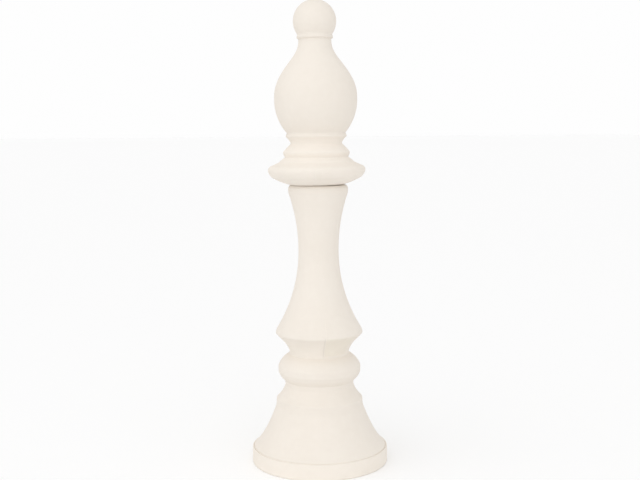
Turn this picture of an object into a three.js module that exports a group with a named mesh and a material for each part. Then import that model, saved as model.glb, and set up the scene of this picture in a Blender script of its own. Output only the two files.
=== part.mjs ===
import * as THREE from 'three';

// A chess bishop as a floor-standing sculpture, cast in two pieces: a body, from the plinth to the
// top of the stem, and a head that sits on it, from the collar to the ball.
// Millimetres, +Z up. The origin is the middle of the underside.

// Overall sizes
const totalHeight = 1000;

// How finely the facets follow the curves: round the axis, on arcs, and along flowing curves
const facetsAround = 48;
const chordError = 0.35;
const flowStep = 14;

// Body, from the ground up: radii, and heights above the ground
const plinth = {
  radius: 148.5, height: 30.6, arris: 1.5,
  lipRadius: 146.4, lipHeight: 35.2, lipSwell: 0.75,
};
const groove = { radius: 142.9, height: 34.4, topRadius: 144, topHeight: 36.6 };
const bell = {
  footRun: 12, footRise: 9.6,
  neckRadius: 95.3, neckHeight: 123.5, neckRun: 21.3, neckDrop: 55.7,
};
const band = { lowRadius: 94.5, lowHeight: 126.5, radius: 94.2, height: 140.8, arris: 0.9 };
const scotia = { radius: 74.6, height: 170.5, hollow: 2.1 };
const torus = {
  footRadius: 74.8, footHeight: 180.8, footSwell: 2, radius: 89.8, low: 200.5, high: 213,
  topSwell: 3.6, topRadius: 65.2, topHeight: 239.4,
};
const neck = { radius: 64.6, low: 242, high: 245.5 };
const skirt = {
  underRadius: 79.4, underHeight: 270, underHollow: 1.5, radius: 94.7, edgeHeight: 285.6,
  lipRadius: 94.4, lipHeight: 289.2, topRadius: 92.7, topHeight: 294.4,
};
const waist = { radius: 43.5, height: 468, hollowBelow: 12.8, hollowAbove: 5 };
const stemTop = {
  lowRadius: 64.1, low: 591, radius: 64.5, shoulder: 595, high: 600,
  restRadius: 59.4, restHeight: 607.4, restSwell: 1.2,
};

// Joint between the two castings: the head sits a little off the axis of the body, and leans
const joint = { bed: 0.8, shift: -2.5, lean: THREE.MathUtils.degToRad(0.41) };

// Head: radii, and heights above the ground before it leans
const seat = { radius: 58.6, height: stemTop.restHeight + joint.bed, flareRadius: 60.5, flareHeight: 609.4 };
const collar = {
  underRadius: 97.4, underHeight: 624.8, underSwell: 1.5,
  radius: 104.8, low: 637.5, high: 641.8, edgeSwell: 0.9,
  topRadius: 96, topHeight: 649.6, topSwell: 1.7,
};
const collarStep = { radius: 80.6, height: 656.8, topRadius: 77.8, topHeight: 660 };
const quirk = { radius: 67.9, height: 667.4 };
const cone = { radius: 71.8, height: 678.4, swell: 0.8, topRadius: 55.4, topHeight: 695.6, topSwell: 0.5 };
const cove = { radius: 54.6, height: 697.6, hollow: 1.1 };
const bead = {
  lowRadius: 64.8, lowHeight: 711.6, radius: 65.6, height: 713.4,
  topRadius: 62.8, topHeight: 720.4,
};
const mitre = { radius: 88.8, low: 786, high: 795, lowSwell: 6.3 };
const shoulder = { radius: 56.5, height: 868, fullness: 30, slopeRadius: 71.5, slopeHeight: 848 };
const throat = { radius: 35.2, height: 912, topHeight: 917.6, slopeRadius: 42, slopeHeight: 886, depth: 14 };
const ring = { radius: 38.6, low: 920.8, high: 923.4, topRadius: 37.2, topHeight: 928.2 };
const ball = { radius: 46, height: totalHeight - 46 };

// The angle that one facet of an arc may turn through before it strays from the arc
function facetAngle(radius) {
  return 2 * Math.acos(Math.max(0, 1 - chordError / radius));
}

// The outline of one turned piece: corners joined by straight lines, arcs and flowing curves, from
// the axis at the bottom to the axis at the top
class Outline {
  constructor(height) {
    this.points = [new THREE.Vector2(0, height)];
  }

  get last() {
    return this.points[this.points.length - 1];
  }

  line(radius, height) {
    this.points.push(new THREE.Vector2(radius, height));
    return this;
  }

  // A circular arc to the next corner. Its middle stands `rise` outside the straight line between
  // the two corners, or inside it where the rise is negative.
  arc(radius, height, rise) {
    const start = this.last.clone();
    const end = new THREE.Vector2(radius, height);
    const chord = end.clone().sub(start);
    const outward = new THREE.Vector2(chord.y, -chord.x).normalize();
    const arcRadius = (chord.lengthSq() / 4 + rise * rise) / (2 * rise);
    const centre = start.clone().lerp(end, 0.5).addScaledVector(outward, rise - arcRadius);
    const sweep = 2 * Math.asin(chord.length() / 2 / arcRadius);
    const steps = Math.ceil(Math.abs(sweep) / facetAngle(Math.abs(arcRadius)));
    for (let step = 1; step <= steps; step += 1) {
      this.points.push(start.clone().rotateAround(centre, (sweep * step) / steps));
    }
    return this;
  }

  // A flowing curve to the next corner, drawn towards two guide points
  flow(guideA, guideB, radius, height) {
    const end = new THREE.Vector2(radius, height);
    const curve = new THREE.CubicBezierCurve(this.last.clone(), guideA, guideB, end);
    const steps = Math.ceil(curve.getLength() / flowStep);
    this.points.push(...curve.getSpacedPoints(steps).slice(1));
    return this;
  }

  // The piece turned round the Z axis
  turned() {
    return new THREE.LatheGeometry(this.points, facetsAround).rotateX(Math.PI / 2);
  }
}

const at = (radius, height) => new THREE.Vector2(radius, height);

// Plinth, bell-shaped base, scotia, torus, skirt and stem
function bodyOutline() {
  return new Outline(0)
    .line(plinth.radius - plinth.arris, 0)
    .line(plinth.radius, plinth.arris)
    .line(plinth.radius, plinth.height)
    .arc(plinth.lipRadius, plinth.lipHeight, plinth.lipSwell)
    .line(groove.radius, groove.height)
    .line(groove.topRadius, groove.topHeight)
    .flow(
      at(groove.topRadius - bell.footRun, groove.topHeight + bell.footRise),
      at(bell.neckRadius + bell.neckRun, bell.neckHeight - bell.neckDrop),
      bell.neckRadius,
      bell.neckHeight,
    )
    .line(band.lowRadius, band.lowHeight)
    .line(band.radius, band.height)
    .line(band.radius - band.arris, band.height + band.arris)
    .arc(scotia.radius, scotia.height, -scotia.hollow)
    .line(torus.footRadius, torus.footHeight)
    .arc(torus.radius, torus.low, torus.footSwell)
    .line(torus.radius, torus.high)
    .arc(torus.topRadius, torus.topHeight, torus.topSwell)
    .line(neck.radius, neck.low)
    .line(neck.radius, neck.high)
    .arc(skirt.underRadius, skirt.underHeight, -skirt.underHollow)
    .line(skirt.radius, skirt.edgeHeight)
    .line(skirt.lipRadius, skirt.lipHeight)
    .line(skirt.topRadius, skirt.topHeight)
    .arc(waist.radius, waist.height, -waist.hollowBelow)
    .arc(stemTop.lowRadius, stemTop.low, -waist.hollowAbove)
    .line(stemTop.radius, stemTop.shoulder)
    .line(stemTop.radius, stemTop.high)
    .arc(stemTop.restRadius, stemTop.restHeight, stemTop.restSwell)
    .line(0, stemTop.restHeight);
}

// Collar, cone, cove, bead, mitre, throat, ring and ball. A half circle closes the ball.
function headOutline() {
  const ballFoot = Math.acos(ring.topRadius / ball.radius);
  const ballSteps = Math.ceil((Math.PI / 2 + ballFoot) / facetAngle(ball.radius));
  const outline = new Outline(seat.height)
    .line(seat.radius, seat.height)
    .line(seat.flareRadius, seat.flareHeight)
    .arc(collar.underRadius, collar.underHeight, collar.underSwell)
    .arc(collar.radius, collar.low, collar.edgeSwell)
    .line(collar.radius, collar.high)
    .arc(collar.topRadius, collar.topHeight, collar.topSwell)
    .line(collarStep.radius, collarStep.height)
    .line(collarStep.topRadius, collarStep.topHeight)
    .line(quirk.radius, quirk.height)
    .arc(cone.radius, cone.height, cone.swell)
    .arc(cone.topRadius, cone.topHeight, cone.topSwell)
    .line(cove.radius, cove.height)
    .arc(bead.lowRadius, bead.lowHeight, -cove.hollow)
    .line(bead.radius, bead.height)
    .line(bead.topRadius, bead.topHeight)
    .arc(mitre.radius, mitre.low, mitre.lowSwell)
    .line(mitre.radius, mitre.high)
    .flow(
      at(mitre.radius, mitre.high + shoulder.fullness),
      at(shoulder.slopeRadius, shoulder.slopeHeight),
      shoulder.radius,
      shoulder.height,
    )
    .flow(
      at(throat.slopeRadius, throat.slopeHeight),
      at(throat.radius, throat.height - throat.depth),
      throat.radius,
      throat.height,
    )
    .line(throat.radius, throat.topHeight)
    .line(ring.radius, ring.low)
    .line(ring.radius, ring.high)
    .line(ring.topRadius, ring.topHeight);
  for (let step = 1; step <= ballSteps; step += 1) {
    const angle = -ballFoot + ((Math.PI / 2 + ballFoot) * step) / ballSteps;
    outline.line(ball.radius * Math.cos(angle), ball.height + ball.radius * Math.sin(angle));
  }
  outline.last.x = 0;
  return outline;
}

const castStone = { color: 0xeee8dc, roughness: 0.8, metalness: 0 };

const body = new THREE.Mesh(bodyOutline().turned(), new THREE.MeshStandardMaterial(castStone));
body.name = 'body';

// The head leans about the middle of its seat
const headGeometry = headOutline().turned().translate(0, 0, -seat.height);
const head = new THREE.Mesh(headGeometry, new THREE.MeshStandardMaterial(castStone));
head.name = 'head';
head.position.set(joint.shift, 0, seat.height);
head.rotation.y = -joint.lean;

const bishop = new THREE.Group();
bishop.add(body, head);

export default bishop;
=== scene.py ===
import math

import bmesh
import bpy
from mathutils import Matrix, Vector, geometry


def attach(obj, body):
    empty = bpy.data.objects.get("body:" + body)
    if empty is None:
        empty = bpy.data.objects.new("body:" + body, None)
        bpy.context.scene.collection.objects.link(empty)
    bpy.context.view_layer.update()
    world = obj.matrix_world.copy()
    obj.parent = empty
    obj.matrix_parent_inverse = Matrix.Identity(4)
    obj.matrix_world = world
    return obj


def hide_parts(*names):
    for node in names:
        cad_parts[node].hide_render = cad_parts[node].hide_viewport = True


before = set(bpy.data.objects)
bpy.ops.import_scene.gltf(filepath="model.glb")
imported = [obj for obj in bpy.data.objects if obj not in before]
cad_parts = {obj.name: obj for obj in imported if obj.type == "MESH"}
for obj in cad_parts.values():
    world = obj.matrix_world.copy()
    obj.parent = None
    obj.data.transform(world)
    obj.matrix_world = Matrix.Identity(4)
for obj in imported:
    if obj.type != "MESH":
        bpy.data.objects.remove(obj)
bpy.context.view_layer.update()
mm = 0.001

# Camera: a normal lens at about two thirds of the sculpture's height, looking a little down
cameraSetup = {
    "place": (0.0034, -2.155, 0.718),
    "pitchDown": 6.10,
    "roll": -0.41,
    "lens": 56.25,
}


def makeCamera(setup):
    bpy.ops.object.camera_add(location=setup["place"])
    camera = bpy.context.object
    camera.name = "camera"
    camera.data.lens = setup["lens"]
    camera.data.sensor_width = 36
    tilt = math.radians(90 - setup["pitchDown"])
    camera.rotation_euler = (tilt, 0, 0)
    camera.rotation_euler.rotate_axis("Z", math.radians(setup["roll"]))
    bpy.context.scene.camera = camera


makeCamera(cameraSetup)
print("camera placed")


# Drawing tools. An outline is one chain of vertices, extruded point by point in the plane through
# the axis at the given azimuth, and then spun. Radii and heights are in millimetres.

def startOutline(name, azimuth, height):
    bpy.ops.object.select_all(action="DESELECT")
    bpy.ops.mesh.primitive_plane_add(size=2 * mm, location=(0, 0, height * mm))
    piece = bpy.context.object
    piece.name = name
    piece.data.name = name
    bpy.ops.object.transform_apply(location=True)
    bpy.ops.object.mode_set(mode="EDIT")
    bpy.ops.mesh.merge(type="CENTER")
    angle = math.radians(azimuth)
    return {"piece": piece, "across": (math.sin(angle), -math.cos(angle)), "at": Vector((0, height))}


def drawTo(pen, point):
    step = (point - pen["at"]) * mm
    move = (step.x * pen["across"][0], step.x * pen["across"][1], step.y)
    bpy.ops.mesh.extrude_vertices_move(TRANSFORM_OT_translate={"value": move})
    pen["at"] = point


def straight(pen, radius, height, grain):
    start, end = pen["at"], Vector((radius, height))
    steps = max(1, round((end - start).length / grain))
    for step in range(1, steps + 1):
        drawTo(pen, start.lerp(end, step / steps))


# A circular arc whose middle stands `rise` outside the straight line to the next corner
def arc(pen, radius, height, rise, grain):
    start, end = pen["at"], Vector((radius, height))
    chord = end - start
    outward = Vector((chord.y, -chord.x)).normalized()
    arcRadius = (chord.length_squared / 4 + rise * rise) / (2 * rise)
    centre = (start + end) / 2 + outward * (rise - arcRadius)
    sweep = 2 * math.asin(chord.length / 2 / arcRadius)
    steps = max(2, round(abs(sweep * arcRadius) / grain))
    for step in range(1, steps + 1):
        turn = sweep * step / steps
        spoke = start - centre
        drawTo(pen, centre + Vector((
            spoke.x * math.cos(turn) - spoke.y * math.sin(turn),
            spoke.x * math.sin(turn) + spoke.y * math.cos(turn),
        )))


# A flowing curve to the next corner, drawn towards two guide points
def flow(pen, guideA, guideB, radius, height, grain):
    corners = [Vector((*p, 0)) for p in (pen["at"], guideA, guideB, (radius, height))]
    fine = geometry.interpolate_bezier(*corners, 200)
    length = sum((b - a).length for a, b in zip(fine, fine[1:]))
    steps = max(2, round(length / grain))
    travelled, wanted = 0, 1
    for a, b in zip(fine, fine[1:]):
        travelled += (b - a).length
        if travelled >= length * wanted / steps - 1e-6:
            drawTo(pen, b.xy)
            wanted += 1


# Arrises worn soft by casting and sanding: the chain is smoothed, but not its ends on the axis
def softenArrises(pen, factor, repeat):
    mesh = bmesh.from_edit_mesh(pen["piece"].data)
    for vertex in mesh.verts:
        vertex.select = len(vertex.link_edges) == 2 and vertex.co.xy.length > 5 * mm
    mesh.select_flush_mode()
    bmesh.update_edit_mesh(pen["piece"].data)
    bpy.ops.mesh.vertices_smooth(factor=factor, repeat=repeat)


# The outline is spun in four sectors, finely across the two mould seams and less so between them
def spinRound(pen, seamSpan, seamSteps, plainSteps):
    bpy.ops.mesh.select_all(action="SELECT")
    for span, steps in ((seamSpan, seamSteps), (180 - seamSpan, plainSteps)) * 2:
        bpy.ops.mesh.spin(steps=steps, angle=math.radians(span), center=(0, 0, 0), axis=(0, 0, 1))
    bpy.ops.mesh.select_all(action="SELECT")
    bpy.ops.mesh.remove_doubles(threshold=0.02 * mm)
    bpy.ops.mesh.normals_make_consistent(inside=False)
    bpy.ops.object.mode_set(mode="OBJECT")
    bpy.ops.object.shade_smooth()


# Sizes of the body casting, from the ground up
body = {
    "seamAzimuth": 9,
    "plinth": {
        "radius": 148.2, "height": 30.6, "arris": 1.2,
        "lipRadius": 146.4, "lipHeight": 35.2, "lipSwell": 0.75,
    },
    "groove": {
        "lipRadius": 145.4, "lipHeight": 35.1, "radius": 144.1, "height": 32.2,
        "topRadius": 144.3, "topHeight": 36.4,
    },
    "bell": {
        "footRun": 12, "footRise": 9.6,
        "neckRadius": 96.4, "neckHeight": 120.6, "neckRun": 20.2, "neckDrop": 52.8,
    },
    "band": {
        "lowRadius": 94.4, "lowHeight": 131.4, "lowHollow": 0.5,
        "radius": 94.2, "height": 140.8, "arris": 0.9,
    },
    "scotia": {"radius": 74.6, "height": 170.5, "hollow": 2.1},
    "torus": {
        "footRadius": 74.8, "footHeight": 180.8, "footSwell": 2, "radius": 89.8, "low": 200.5, "high": 213,
        "topSwell": 3.6, "topRadius": 65.2, "topHeight": 239.4,
    },
    "neck": {"radius": 64.6, "low": 242, "high": 245.5},
    "skirt": {
        "underRadius": 79.4, "underHeight": 270, "underHollow": 1.5, "radius": 94.7, "edgeHeight": 285.6,
        "lipRadius": 94.4, "lipHeight": 289.2, "topRadius": 92.7, "topHeight": 294.4,
    },
    "waist": {"radius": 43.5, "height": 468, "hollowBelow": 12.8, "hollowAbove": 5},
    "stemTop": {
        "lowRadius": 64.1, "low": 591, "radius": 64.5, "shoulder": 595, "high": 600,
        "restRadius": 59.4, "restHeight": 607.4, "restSwell": 1.2,
    },
    "grain": 1.3,
    "longGrain": 2.6,
    "flatGrain": 12,
    "seamSpan": 7,
    "seamSteps": 22,
    "plainSteps": 92,
}


def drawBody(sizes):
    fine, long, flat = sizes["grain"], sizes["longGrain"], sizes["flatGrain"]
    plinth, groove, bell, band = (sizes[k] for k in ("plinth", "groove", "bell", "band"))
    scotia, torus, neck, skirt = (sizes[k] for k in ("scotia", "torus", "neck", "skirt"))
    waist, stemTop = sizes["waist"], sizes["stemTop"]
    pen = startOutline("body_casting", sizes["seamAzimuth"] - sizes["seamSpan"] / 2, 0)
    straight(pen, plinth["radius"] - 8, 0, flat)
    straight(pen, plinth["radius"] - plinth["arris"], 0, fine)
    straight(pen, plinth["radius"], plinth["arris"], fine)
    straight(pen, plinth["radius"], plinth["height"], fine)
    arc(pen, plinth["lipRadius"], plinth["lipHeight"], plinth["lipSwell"], fine)
    straight(pen, groove["lipRadius"], groove["lipHeight"], fine)
    straight(pen, groove["radius"], groove["height"], fine)
    straight(pen, groove["topRadius"], groove["topHeight"], fine)
    flow(
        pen,
        (groove["topRadius"] - bell["footRun"], groove["topHeight"] + bell["footRise"]),
        (bell["neckRadius"] + bell["neckRun"], bell["neckHeight"] - bell["neckDrop"]),
        bell["neckRadius"], bell["neckHeight"], long,
    )
    arc(pen, band["lowRadius"], band["lowHeight"], -band["lowHollow"], fine)
    straight(pen, band["radius"], band["height"], fine)
    straight(pen, band["radius"] - band["arris"], band["height"] + band["arris"], fine)
    arc(pen, scotia["radius"], scotia["height"], -scotia["hollow"], fine)
    straight(pen, torus["footRadius"], torus["footHeight"], fine)
    arc(pen, torus["radius"], torus["low"], torus["footSwell"], fine)
    straight(pen, torus["radius"], torus["high"], fine)
    arc(pen, torus["topRadius"], torus["topHeight"], torus["topSwell"], fine)
    straight(pen, neck["radius"], neck["low"], fine)
    straight(pen, neck["radius"], neck["high"], fine)
    arc(pen, skirt["underRadius"], skirt["underHeight"], -skirt["underHollow"], fine)
    straight(pen, skirt["radius"], skirt["edgeHeight"], fine)
    straight(pen, skirt["lipRadius"], skirt["lipHeight"], fine)
    straight(pen, skirt["topRadius"], skirt["topHeight"], fine)
    arc(pen, waist["radius"], waist["height"], -waist["hollowBelow"], long)
    arc(pen, stemTop["lowRadius"], stemTop["low"], -waist["hollowAbove"], long)
    straight(pen, stemTop["radius"], stemTop["shoulder"], fine)
    straight(pen, stemTop["radius"], stemTop["high"], fine)
    arc(pen, stemTop["restRadius"], stemTop["restHeight"], stemTop["restSwell"], fine)
    straight(pen, stemTop["restRadius"] - 8, stemTop["restHeight"], fine)
    straight(pen, 0, stemTop["restHeight"], flat)
    return pen


bodyPen = drawBody(body)
softenArrises(bodyPen, 0.5, 1)
spinRound(bodyPen, body["seamSpan"], body["seamSteps"], body["plainSteps"])
bodyPiece = bodyPen["piece"]
print("body spun:", len(bodyPiece.data.polygons), "faces")


# Sizes of the head casting. Heights are above the ground, before the head leans about its seat
head = {
    "seamAzimuth": -3,
    "shift": -2.5,
    "lean": 0.41,
    "seat": {"radius": 58.6, "height": 608.0, "flareRadius": 60.5, "flareHeight": 609.1},
    "collar": {
        "underRadius": 97.4, "underHeight": 624.8, "underSwell": 1.5,
        "radius": 104.8, "low": 637.5, "high": 641.8, "edgeSwell": 0.9,
        "topRadius": 96, "topHeight": 649.6, "topSwell": 1.7,
    },
    "collarStep": {"radius": 80.6, "height": 656.8, "topRadius": 77.8, "topHeight": 660},
    "quirk": {"radius": 67.9, "height": 667.4},
    "cone": {
        "radius": 71.8, "height": 678.4, "swell": 0.8,
        "topRadius": 55.4, "topHeight": 695.2, "topSwell": 0.5,
    },
    "cove": {"radius": 54.6, "height": 696.8, "hollow": 1.1},
    "bead": {
        "lowRadius": 64.8, "lowHeight": 710.4, "radius": 65.8, "height": 712.4,
        "topRadius": 62.6, "topHeight": 718.6,
    },
    "mitre": {"radius": 88.8, "low": 786, "high": 795, "lowSwell": 6.3},
    "shoulder": {"radius": 56.5, "height": 868, "fullness": 30, "slopeRadius": 71.5, "slopeHeight": 848},
    "throat": {
        "radius": 35.2, "height": 912, "topHeight": 914.6, "slopeRadius": 42, "slopeHeight": 886, "depth": 14,
        "creaseRadius": 34, "creaseHeight": 916,
    },
    "ring": {"radius": 38.8, "low": 918.6, "high": 921.6, "topRadius": 37, "topHeight": 926.4},
    "ball": {"radius": 46, "height": 953.8},
    "grain": 1.2,
    "longGrain": 2.4,
    "flatGrain": 10,
    "seamSpan": 8,
    "seamSteps": 20,
    "plainSteps": 88,
}


def drawHead(sizes):
    fine, long, flat = sizes["grain"], sizes["longGrain"], sizes["flatGrain"]
    seat, collar, collarStep, quirk = (sizes[k] for k in ("seat", "collar", "collarStep", "quirk"))
    cone, cove, bead, mitre = (sizes[k] for k in ("cone", "cove", "bead", "mitre"))
    shoulder, throat, ring, ball = (sizes[k] for k in ("shoulder", "throat", "ring", "ball"))
    pen = startOutline("head_casting", sizes["seamAzimuth"] - sizes["seamSpan"] / 2, seat["height"])
    straight(pen, seat["radius"] - 8, seat["height"], flat)
    straight(pen, seat["radius"], seat["height"], fine)
    straight(pen, seat["flareRadius"], seat["flareHeight"], fine)
    arc(pen, collar["underRadius"], collar["underHeight"], collar["underSwell"], fine)
    arc(pen, collar["radius"], collar["low"], collar["edgeSwell"], fine)
    straight(pen, collar["radius"], collar["high"], fine)
    arc(pen, collar["topRadius"], collar["topHeight"], collar["topSwell"], fine)
    straight(pen, collarStep["radius"], collarStep["height"], fine)
    straight(pen, collarStep["topRadius"], collarStep["topHeight"], fine)
    straight(pen, quirk["radius"], quirk["height"], fine)
    arc(pen, cone["radius"], cone["height"], cone["swell"], fine)
    arc(pen, cone["topRadius"], cone["topHeight"], cone["topSwell"], fine)
    straight(pen, cove["radius"], cove["height"], fine)
    arc(pen, bead["lowRadius"], bead["lowHeight"], -cove["hollow"], fine)
    straight(pen, bead["radius"], bead["height"], fine)
    straight(pen, bead["topRadius"], bead["topHeight"], fine)
    arc(pen, mitre["radius"], mitre["low"], mitre["lowSwell"], long)
    straight(pen, mitre["radius"], mitre["high"], long)
    flow(
        pen,
        (mitre["radius"], mitre["high"] + shoulder["fullness"]),
        (shoulder["slopeRadius"], shoulder["slopeHeight"]),
        shoulder["radius"], shoulder["height"], long,
    )
    flow(
        pen,
        (throat["slopeRadius"], throat["slopeHeight"]),
        (throat["radius"], throat["height"] - throat["depth"]),
        throat["radius"], throat["height"], fine,
    )
    straight(pen, throat["radius"], throat["topHeight"], fine)
    straight(pen, throat["creaseRadius"], throat["creaseHeight"], fine)
    straight(pen, ring["radius"], ring["low"], fine)
    straight(pen, ring["radius"], ring["high"], fine)
    straight(pen, ring["topRadius"], ring["topHeight"], fine)
    ballFoot = math.acos(ring["topRadius"] / ball["radius"])
    ballSteps = round((math.pi / 2 + ballFoot) * ball["radius"] / fine)
    for step in range(1, ballSteps + 1):
        rise = (math.pi / 2 + ballFoot) * step / ballSteps - ballFoot
        reach = ball["radius"] * math.cos(rise) if step < ballSteps else 0
        drawTo(pen, Vector((reach, ball["height"] + ball["radius"] * math.sin(rise))))
    return pen


# The head is bedded a little off the body's axis, and leans about the middle of its seat
def bedHead(piece, sizes):
    bpy.context.scene.cursor.location = (0, 0, sizes["seat"]["height"] * mm)
    bpy.ops.object.origin_set(type="ORIGIN_CURSOR")
    piece.rotation_euler.y = -math.radians(sizes["lean"])
    piece.location.x = sizes["shift"] * mm
    bpy.ops.object.transform_apply(location=True, rotation=True)
    bpy.context.scene.cursor.location = (0, 0, 0)


headPen = drawHead(head)
softenArrises(headPen, 0.5, 1)
spinRound(headPen, head["seamSpan"], head["seamSteps"], head["plainSteps"])
headPiece = headPen["piece"]
print("head spun:", len(headPiece.data.polygons), "faces")


# Marks of the casting: mould seams fettled down almost flush, and the slow unevenness of the faces
def weigh(piece, name, weightAt):
    group = piece.vertex_groups.new(name=name)
    for vertex in piece.data.vertices:
        weight = weightAt(vertex.co)
        if weight > 0.002:
            group.add([vertex.index], min(weight, 1), "REPLACE")
    return group.name


def displace(piece, name, strength, groupName, texture=None, midLevel=0):
    modifier = piece.modifiers.new(name, "DISPLACE")
    modifier.strength = strength * mm
    modifier.mid_level = midLevel
    modifier.vertex_group = groupName
    if texture:
        modifier.texture = texture
        modifier.texture_coords = "LOCAL"
    bpy.context.view_layer.objects.active = piece
    bpy.ops.object.modifier_apply(modifier=name)


def window(value, low, high, soft):
    rise = min(max((value - low) / soft + 0.5, 0), 1)
    fall = min(max((high - value) / soft + 0.5, 0), 1)
    return rise * rise * (3 - 2 * rise) * fall * fall * (3 - 2 * fall)


# Distance round the surface, in millimetres, from the meridian at an azimuth
def arcFrom(place, azimuth):
    angle = math.atan2(place.x, -place.y) - math.radians(azimuth)
    angle = (angle + math.pi) % (2 * math.pi) - math.pi
    return angle * place.xy.length / mm


def addSeam(piece, name, seam):
    def ridge(place):
        across = (arcFrom(place, seam["azimuth"]) - seam["offset"]) / seam["width"]
        if abs(across) > 3:
            return 0
        return math.exp(-across * across) * window(place.z / mm, seam["low"], seam["high"], seam["soft"])

    displace(piece, name, seam["height"], weigh(piece, name, ridge))


def clouds(name, size, depth):
    texture = bpy.data.textures.new(name, "CLOUDS")
    texture.noise_scale = size * mm
    texture.noise_depth = depth
    texture.noise_type = "SOFT_NOISE"
    return texture


castFaces = {
    "slowSize": 55, "slowHeight": 0.5, "fineSize": 9, "fineHeight": 0.14,
    "edgeFade": 3, "level": 0.5,
}


def roughenFaces(piece, low, high, faces):
    freeFaces = weigh(
        piece, "free_faces",
        lambda place: window(place.z / mm, low + faces["edgeFade"], high, faces["edgeFade"]),
    )
    slow = clouds(piece.name + "_slow", faces["slowSize"], 1)
    fine = clouds(piece.name + "_fine", faces["fineSize"], 2)
    displace(piece, "slow", faces["slowHeight"], freeFaces, slow, faces["level"])
    displace(piece, "fine", faces["fineHeight"], freeFaces, fine, faces["level"])


bodySeams = [
    {
        "name": "front_ridge", "azimuth": 9, "offset": 0.6, "width": 1.1, "height": 1.1,
        "low": 240, "high": 308, "soft": 16,
    },
    {
        "name": "front_step", "azimuth": 9, "offset": -1.8, "width": 1, "height": -0.9,
        "low": 240, "high": 290, "soft": 8,
    },
    {
        "name": "back_ridge", "azimuth": 189, "offset": 0, "width": 1.2, "height": 0.5,
        "low": 240, "high": 330, "soft": 20,
    },
]
headSeams = [
    {
        "name": "front_ridge", "azimuth": -3, "offset": 0, "width": 1.2, "height": 0.4,
        "low": 612, "high": 650, "soft": 8,
    },
    {
        "name": "back_ridge", "azimuth": 177, "offset": 0, "width": 1.2, "height": 0.4,
        "low": 612, "high": 664, "soft": 8,
    },
]

for seam in bodySeams:
    addSeam(bodyPiece, seam["name"], seam)
roughenFaces(bodyPiece, 0, 604, castFaces)
for seam in headSeams:
    addSeam(headPiece, seam["name"], seam)
roughenFaces(headPiece, 610, 1010, castFaces)
print("casting marks made")

bpy.ops.object.select_all(action="DESELECT")
headPiece.select_set(True)
bpy.context.view_layer.objects.active = headPiece
bedHead(headPiece, head)
print("head bedded")


# Cream cast stone: matte, faintly clouded, with a fine grain and a few pinholes. Painted light makes it a
# little paler low on the plinth and in the shaded recesses, painted highlights pale the arrises, and painted
# shade lies beside the mould seam
stone = {
    "pale": (0.832, 0.775, 0.703, 1),
    "warm": (0.812, 0.752, 0.677, 1),
    "roughness": 0.82,
    "cloudScale": 9,
    "mottleScale": 70,
    "grainScale": 900,
    "grainDepth": 0.00008,
    "pitScale": 130,
    "pitSize": 0.09,
    "pitDepth": 0.0004,
    # Painted highlight on convex arrises, picked out by pointiness
    "arrisFrom": 0.53,
    "arrisTo": 0.62,
    "arrisHighlight": 1.04,
}
bodyPaintedLight = {
    # Painted light: paler bands by height, a pool of light on the plinth foot and lifted shade under the
    # torus and the skirt
    "paintedLightBands": [
        (0, 1.05), (33, 1.04), (38, 1), (150, 1), (180, 1.02), (200, 1),
        (235, 1.01), (247, 1.04), (280, 1),
    ],
    "seamAzimuth": 9,
    "seamLow": 242,
    "seamHigh": 318,
    "creaseHigh": 288,
    "crease": -1.6,
    # Painted shade in the seam's crease, a painted highlight on its flash, and painted shade to the seam's
    # right
    "creaseShade": 0.94,
    "flash": 0.9,
    "flashHighlight": 1.03,
    "width": 1.6,
    "sideShadeTo": 55,
    "sideShade": (0.975, 0.975, 0.95, 1),
}
headPaintedLight = {
    # Painted light: paler bands by height, lifting the shade on the collar, cone and bead
    "paintedLightBands": [(608, 1), (640, 1.02), (652, 1.03), (668, 1.05), (700, 1.05), (716, 1.02), (722, 1)],
    "seamAzimuth": -3,
    "seamLow": 614,
    "seamHigh": 652,
    "creaseHigh": 640,
    "crease": -1.2,
    # Painted shade in the seam's crease, a painted highlight on its flash, and painted shade to the seam's
    # right
    "creaseShade": 0.98,
    "flash": 0.6,
    "flashHighlight": 1.01,
    "width": 1.6,
    "sideShadeTo": 8,
    "sideShade": (0.99, 0.99, 0.985, 1),
}


def addNode(tree, kind, place, inputs=None, **settings):
    node = tree.nodes.new(kind)
    node.location = place
    for name, value in settings.items():
        setattr(node, name, value)
    for name, value in (inputs or {}).items():
        node.inputs[name].default_value = value
    return node


def arithmetic(tree, place, operation, first, second=None):
    node = addNode(tree, "ShaderNodeMath", place, operation=operation)
    for socket, value in zip(node.inputs, (first, second)):
        if value is None:
            continue
        if isinstance(value, (int, float)):
            socket.default_value = value
        else:
            tree.links.new(value, socket)
    return node.outputs["Value"]


# A smooth step from one value to another, as a factor from 0 to 1
def between(tree, place, value, low, high):
    node = addNode(tree, "ShaderNodeMapRange", place, {"From Min": low, "From Max": high})
    node.interpolation_type = "SMOOTHSTEP"
    tree.links.new(value, node.inputs["Value"])
    return node.outputs["Result"]


def multiply(tree, place, factor, colorA, colorB):
    node = addNode(tree, "ShaderNodeMix", place, data_type="RGBA", blend_type="MULTIPLY")
    for socket, value in ((node.inputs[0], factor), (node.inputs[6], colorA), (node.inputs[7], colorB)):
        if isinstance(value, bpy.types.NodeSocket):
            tree.links.new(value, socket)
        else:
            socket.default_value = value
    return node.outputs[2]


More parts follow.
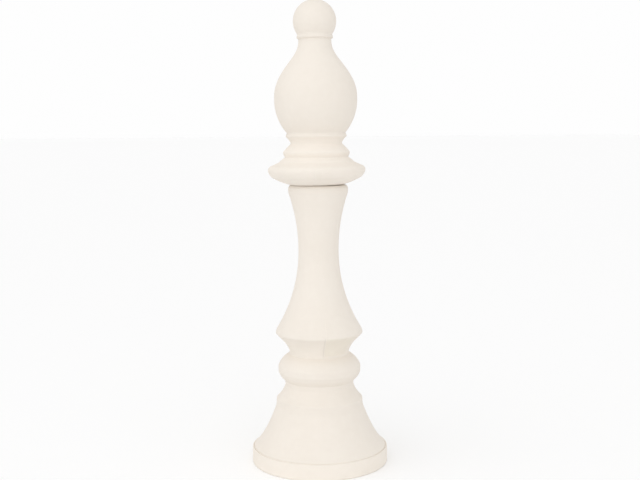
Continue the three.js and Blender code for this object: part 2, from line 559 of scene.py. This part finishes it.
# Clouded ground colour of the stone
def clouded(tree, place, look):
    link = tree.links.new
    cloud = addNode(tree, "ShaderNodeTexNoise", (-760, 260), {"Scale": look["cloudScale"], "Detail": 3})
    mottle = addNode(tree, "ShaderNodeTexNoise", (-760, 60), {"Scale": look["mottleScale"], "Detail": 5})
    link(place, cloud.inputs["Vector"])
    link(place, mottle.inputs["Vector"])
    both = addNode(tree, "ShaderNodeMix", (-560, 180), {"Factor": 0.4}, data_type="FLOAT")
    link(cloud.outputs["Fac"], both.inputs["A"])
    link(mottle.outputs["Fac"], both.inputs["B"])
    ramp = addNode(tree, "ShaderNodeValToRGB", (-360, 180))
    ramp.color_ramp.elements[0].position = 0.35
    ramp.color_ramp.elements[0].color = look["warm"]
    ramp.color_ramp.elements[1].position = 0.65
    ramp.color_ramp.elements[1].color = look["pale"]
    link(both.outputs["Result"], ramp.inputs["Fac"])
    return ramp.outputs["Color"]


# Painted light by height: paler bands make a pool of light on the plinth foot and lift the shade under the
# torus and the skirt and on the head's collar, cone and bead. The ramp holds half the tone, because its
# colours end at 1
def paintLightByHeight(tree, height, paintedLight, color):
    ramp = addNode(tree, "ShaderNodeValToRGB", (-360, 480))
    stops = ramp.color_ramp.elements
    stops.remove(stops[1])
    for row, (level, tone) in enumerate(paintedLight["paintedLightBands"]):
        stop = stops[0] if row == 0 else stops.new(level * mm)
        stop.position = level * mm
        stop.color = (tone / 2, tone / 2, tone / 2, 1)
    tree.links.new(height, ramp.inputs["Fac"])
    toned = multiply(tree, (-100, 300), 1.0, color, ramp.outputs["Color"])
    return multiply(tree, (60, 300), 1.0, toned, (2, 2, 2, 1))


# Painted shade in the crease beside the seam, a painted highlight along the rubbed-down flash, and painted
# shade on the castings' later half, from the seam round to the right
def paintSeamShadeAndHighlight(tree, split, paintedLight, color):
    x, y, height = (split.outputs[k] for k in ("X", "Y", "Z"))
    turn = arithmetic(tree, (-1200, 900), "ARCTAN2", x, arithmetic(tree, (-1400, 900), "MULTIPLY", y, -1.0))
    turn = arithmetic(tree, (-1000, 900), "SUBTRACT", turn, math.radians(paintedLight["seamAzimuth"]))
    reach = addNode(tree, "ShaderNodeVectorMath", (-1200, 1100), operation="LENGTH")
    flat = addNode(tree, "ShaderNodeCombineXYZ", (-1400, 1100))
    tree.links.new(x, flat.inputs["X"])
    tree.links.new(y, flat.inputs["Y"])
    tree.links.new(flat.outputs["Vector"], reach.inputs[0])
    along = arithmetic(tree, (-800, 900), "MULTIPLY", turn, reach.outputs["Value"])
    low, high, creaseHigh = (paintedLight[k] * mm for k in ("seamLow", "seamHigh", "creaseHigh"))
    rise = between(tree, (-800, 1100), height, low, low + 4 * mm)
    for line, top, tone in (("crease", creaseHigh, "creaseShade"), ("flash", high, "flashHighlight")):
        away = arithmetic(tree, (-600, 900), "SUBTRACT", along, paintedLight[line] * mm)
        away = arithmetic(tree, (-450, 900), "ABSOLUTE", away)
        near = between(tree, (-300, 900), away, paintedLight["width"] * mm, 0)
        fall = between(tree, (-600, 1100), height, top + 4 * mm, top)
        amount = arithmetic(tree, (-150, 1000), "MULTIPLY", near, rise)
        amount = arithmetic(tree, (0, 1000), "MULTIPLY", amount, fall)
        color = multiply(tree, (220, 500), amount, color, (paintedLight[tone],) * 3 + (1,))
    # Painted shade on the later half, from the seam round to the right
    begin = between(tree, (-600, 1300), along, 0, 2 * mm)
    sideShadeTo = math.radians(paintedLight["sideShadeTo"])
    end = between(tree, (-450, 1300), turn, sideShadeTo, sideShadeTo * 0.8)
    fall = between(tree, (-600, 1500), height, creaseHigh + 1 * mm, creaseHigh - 2 * mm)
    amount = arithmetic(tree, (-150, 1300), "MULTIPLY", begin, end)
    reached = arithmetic(tree, (-150, 1500), "MULTIPLY", rise, fall)
    amount = arithmetic(tree, (0, 1300), "MULTIPLY", amount, reached)
    return multiply(tree, (380, 500), amount, color, paintedLight["sideShade"])


# Fine grain and pinholes
def grained(tree, place, look):
    link = tree.links.new
    grain = addNode(tree, "ShaderNodeTexNoise", (-760, -160), {"Scale": look["grainScale"], "Detail": 3})
    pits = addNode(tree, "ShaderNodeTexVoronoi", (-760, -380), {"Scale": look["pitScale"]})
    link(place, grain.inputs["Vector"])
    link(place, pits.inputs["Vector"])
    hole = addNode(tree, "ShaderNodeMapRange", (-560, -380), {"From Min": 0, "From Max": look["pitSize"]})
    link(pits.outputs["Distance"], hole.inputs["Value"])
    grainBump = addNode(tree, "ShaderNodeBump", (-360, -160), {"Distance": look["grainDepth"], "Strength": 1})
    pitBump = addNode(tree, "ShaderNodeBump", (-160, -260), {"Distance": look["pitDepth"], "Strength": 0.6})
    link(grain.outputs["Fac"], grainBump.inputs["Height"])
    link(hole.outputs["Result"], pitBump.inputs["Height"])
    link(grainBump.outputs["Normal"], pitBump.inputs["Normal"])
    return pitBump.outputs["Normal"]


def castStone(name, offset, look, paintedLight):
    material = bpy.data.materials.new(name)
    material.use_nodes = True
    tree = material.node_tree
    shader = tree.nodes["Principled BSDF"]
    shader.location = (900, 300)
    shader.inputs["Roughness"].default_value = look["roughness"]
    shader.inputs["Specular IOR Level"].default_value = 0.3
    coordinates = addNode(tree, "ShaderNodeTexCoord", (-1600, 0))
    moved = addNode(tree, "ShaderNodeMapping", (-1000, 0), {"Location": offset})
    split = addNode(tree, "ShaderNodeSeparateXYZ", (-1400, 600))
    tree.links.new(coordinates.outputs["Object"], moved.inputs["Vector"])
    tree.links.new(coordinates.outputs["Object"], split.inputs["Vector"])
    color = clouded(tree, moved.outputs["Vector"], look)
    color = paintLightByHeight(tree, split.outputs["Z"], paintedLight, color)
    color = paintSeamShadeAndHighlight(tree, split, paintedLight, color)
    # Painted highlight: sharp convex arrises are made paler, picked out by pointiness
    shape = addNode(tree, "ShaderNodeNewGeometry", (220, 800))
    edgeHighlight = between(tree, (380, 800), shape.outputs["Pointiness"], look["arrisFrom"], look["arrisTo"])
    color = multiply(tree, (560, 500), edgeHighlight, color, (look["arrisHighlight"],) * 3 + (1,))
    tree.links.new(color, shader.inputs["Base Color"])
    tree.links.new(grained(tree, moved.outputs["Vector"], look), shader.inputs["Normal"])
    tree.nodes["Material Output"].location = (1200, 300)
    return material


def dress(piece, material, node):
    piece.data.materials.clear()
    piece.data.materials.append(material)
    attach(piece, "root")
    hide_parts(node)


bodyStone = castStone("body_cast_stone", (0, 0, 0), stone, bodyPaintedLight)
headStone = castStone("head_cast_stone", (0.31, 0.17, 0.05), stone, headPaintedLight)
dress(bodyPiece, bodyStone, "body")
dress(headPiece, headStone, "head")
print("materials made")


# Plain pale floor and soft studio light: an even white room, brighter from high in front and high on
# the left, with a white backdrop behind the sculpture and one soft box near the camera
studio = {
    "floorSize": 400,
    "floorColor": (0.9, 0.9, 0.9, 1),
    "floorGlow": 0.07,
    "roomLight": 0.81,
    "glows": [
        {"way": (0, 1, 0), "from": 0.72, "to": 0.88, "light": 0.18},
        {"way": (0, -0.707, 0.707), "from": 0.5, "to": 0.9, "light": 0.18},
        {"way": (-0.5, -0.5, 0.707), "from": 0.5, "to": 0.9, "light": 0.32},
    ],
    "lamp": {"azimuth": 5, "reach": 3.13, "height": 1.3, "size": 2.4, "power": 6.5, "aim": 0.5},
}


def makeFloor(setup):
    bpy.ops.mesh.primitive_plane_add(size=setup["floorSize"], location=(0, 0, 0))
    floor = bpy.context.object
    floor.name = "floor"
    paint = bpy.data.materials.new("floor_paint")
    paint.use_nodes = True
    shader = paint.node_tree.nodes["Principled BSDF"]
    shader.inputs["Base Color"].default_value = setup["floorColor"]
    shader.inputs["Roughness"].default_value = 0.9
    shader.inputs["Emission Color"].default_value = (1, 1, 1, 1)
    shader.inputs["Emission Strength"].default_value = setup["floorGlow"]
    floor.data.materials.append(paint)


def makeRoom(setup):
    world = bpy.data.worlds.new("studio")
    world.use_nodes = True
    tree = world.node_tree
    link = tree.links.new
    background = tree.nodes["Background"]
    background.inputs["Color"].default_value = (1, 1, 1, 1)
    direction = addNode(tree, "ShaderNodeTexCoord", (-1000, 0))
    room = addNode(tree, "ShaderNodeValue", (-400, 200))
    room.outputs["Value"].default_value = setup["roomLight"]
    light = room.outputs["Value"]
    for row, glow in enumerate(setup["glows"]):
        towards = addNode(tree, "ShaderNodeVectorMath", (-800, -200 * row), operation="DOT_PRODUCT")
        towards.inputs[1].default_value = glow["way"]
        spread = addNode(tree, "ShaderNodeMapRange", (-600, -200 * row), {
            "From Min": glow["from"], "From Max": glow["to"], "To Min": 0, "To Max": glow["light"],
        })
        total = addNode(tree, "ShaderNodeMath", (-300, -200 * row), operation="ADD")
        link(direction.outputs["Generated"], towards.inputs[0])
        link(towards.outputs["Value"], spread.inputs["Value"])
        link(light, total.inputs[0])
        link(spread.outputs["Result"], total.inputs[1])
        light = total.outputs["Value"]
    link(light, background.inputs["Strength"])
    bpy.context.scene.world = world


def makeLamp(lamp):
    angle = math.radians(lamp["azimuth"])
    place = Vector((math.sin(angle), -math.cos(angle), 0)) * lamp["reach"]
    place.z = lamp["height"]
    bpy.ops.object.light_add(type="AREA", location=place)
    softBox = bpy.context.object
    softBox.name = "soft_box"
    softBox.data.shape = "SQUARE"
    softBox.data.size = lamp["size"]
    softBox.data.energy = lamp["power"]
    aim = Vector((0, 0, lamp["aim"]))
    softBox.rotation_euler = (aim - place).to_track_quat("-Z", "Y").to_euler()
    bpy.context.scene.view_settings.view_transform = "Standard"


makeFloor(studio)
makeRoom(studio)
makeLamp(studio["lamp"])
print("studio lit")
